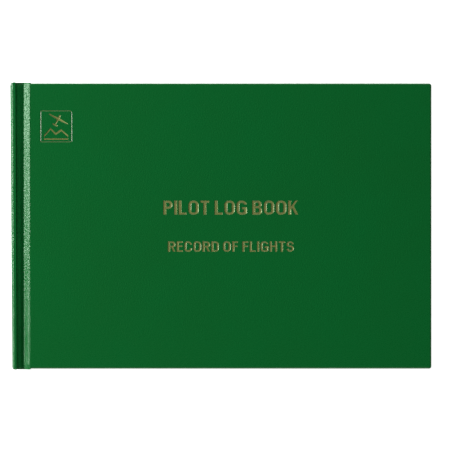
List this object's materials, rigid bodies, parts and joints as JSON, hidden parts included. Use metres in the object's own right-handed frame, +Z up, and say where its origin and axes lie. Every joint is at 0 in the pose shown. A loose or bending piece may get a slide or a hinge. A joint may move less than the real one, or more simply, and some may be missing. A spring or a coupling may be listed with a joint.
{
  "type": "pilot logbook",
  "caption": "Landscape hard-cover flight log: cloth-jointed leatherette case round a sewn block of ruled leaves, with covers and end leaves that turn.",
  "frame": {"origin": "middle of the book's footprint, on the surface that its back cover lies on", "axes": "+Z up through the closed book, from the back cover to the front cover; +X along the long side, from the spine to the fore-edge; +Y towards the head"},
  "size_m": [0.221, 0.151, 0.0132],
  "materials": {
    "green_leatherette": "satin",
    "greyboard": "matt pressed board",
    "gold_foil": "hot foil",
    "endpaper": "matt paper",
    "log_paper": "matt paper",
    "mull_cloth": "open weave",
    "kraft_paper": "matt paper",
    "spine_glue": "satin",
    "linen_thread": "matt",
    "striped_band": "matt"
  },
  "bodies": {
    "text_block": {"spine_board": "greyboard", "spine_skin": "green_leatherette", "front_joint_skin": "green_leatherette", "back_joint_skin": "green_leatherette", "spine_lining": "kraft_paper", "mull": "mull_cloth", "spine_glue": "spine_glue", "sewing_thread": "linen_thread", "headband": "striped_band", "tailband": "striped_band", "front_bound_folds": "log_paper", "back_bound_folds": "log_paper", "section_1": "log_paper", "section_2": "log_paper", "section_3": "log_paper", "section_4": "log_paper", "section_5": "log_paper", "section_6": "log_paper", "section_7": "log_paper", "section_8": "log_paper"},
    "front_cover": {"front_board": "greyboard", "front_cover_skin": "green_leatherette", "front_mull_flange": "mull_cloth", "front_pastedown": "endpaper", "emblem_foil": "gold_foil", "title_foil": "gold_foil", "subtitle_foil": "gold_foil"},
    "back_cover": {"back_board": "greyboard", "back_cover_skin": "green_leatherette", "back_mull_flange": "mull_cloth", "back_pastedown": "endpaper"},
    "front_flyleaf_body": {"front_flyleaf": "endpaper"},
    "title_leaf_body": {"title_leaf": "log_paper"},
    "log_leaf_1_body": {"log_leaf_1": "log_paper"},
    "log_leaf_2_body": {"log_leaf_2": "log_paper"},
    "log_leaf_3_body": {"log_leaf_3": "log_paper"},
    "log_leaf_4_body": {"log_leaf_4": "log_paper"},
    "back_flyleaf_body": {"back_flyleaf": "endpaper"},
    "last_leaf_body": {"last_leaf": "log_paper"}
  },
  "joints": [
    {"name": "front_cover_hinge", "type": "hinge", "parent": "text_block", "child": "front_cover", "pos_m": [-0.1065, 0, 0.0102], "axis": [0, -1, 0], "range_deg": [0, 180], "deforming": ["front_joint_skin"]},
    {"name": "back_cover_hinge", "type": "hinge", "parent": "text_block", "child": "back_cover", "pos_m": [-0.1065, 0, 0.003], "axis": [0, 1, 0], "range_deg": [0, 180], "deforming": ["back_joint_skin"]},
    {"name": "front_flyleaf_turn", "type": "hinge", "parent": "text_block", "child": "front_flyleaf_body", "pos_m": [-0.1065, 0, 0.0102], "axis": [0, -1, 0], "range_deg": [0, 180]},
    {"name": "title_leaf_turn", "type": "hinge", "parent": "text_block", "child": "title_leaf_body", "pos_m": [-0.1065, 0, 0.0102], "axis": [0, -1, 0], "range_deg": [0, 180]},
    {"name": "log_leaf_1_turn", "type": "hinge", "parent": "text_block", "child": "log_leaf_1_body", "pos_m": [-0.1065, 0, 0.0102], "axis": [0, -1, 0], "range_deg": [0, 180]},
    {"name": "log_leaf_2_turn", "type": "hinge", "parent": "text_block", "child": "log_leaf_2_body", "pos_m": [-0.1065, 0, 0.0102], "axis": [0, -1, 0], "range_deg": [0, 180]},
    {"name": "log_leaf_3_turn", "type": "hinge", "parent": "text_block", "child": "log_leaf_3_body", "pos_m": [-0.1065, 0, 0.0102], "axis": [0, -1, 0], "range_deg": [0, 180]},
    {"name": "log_leaf_4_turn", "type": "hinge", "parent": "text_block", "child": "log_leaf_4_body", "pos_m": [-0.1065, 0, 0.0102], "axis": [0, -1, 0], "range_deg": [0, 180]},
    {"name": "back_flyleaf_turn", "type": "hinge", "parent": "text_block", "child": "back_flyleaf_body", "pos_m": [-0.1065, 0, 0.003], "axis": [0, 1, 0], "range_deg": [0, 180]},
    {"name": "last_leaf_turn", "type": "hinge", "parent": "text_block", "child": "last_leaf_body", "pos_m": [-0.1065, 0, 0.003], "axis": [0, 1, 0], "range_deg": [0, 180]}
  ],
  "couplings": [
    {"joint": "front_flyleaf_turn", "follows": "front_cover_hinge", "ratio": 0.99},
    {"joint": "title_leaf_turn", "follows": "front_cover_hinge", "ratio": 0.965},
    {"joint": "log_leaf_1_turn", "follows": "front_cover_hinge", "ratio": 0.93},
    {"joint": "log_leaf_2_turn", "follows": "front_cover_hinge", "ratio": 0.88},
    {"joint": "log_leaf_3_turn", "follows": "front_cover_hinge", "ratio": 0.04},
    {"joint": "log_leaf_4_turn", "follows": "front_cover_hinge", "ratio": 0.015},
    {"joint": "back_flyleaf_turn", "follows": "back_cover_hinge", "ratio": 0.99},
    {"joint": "last_leaf_turn", "follows": "back_cover_hinge", "ratio": 0.04}
  ]
}
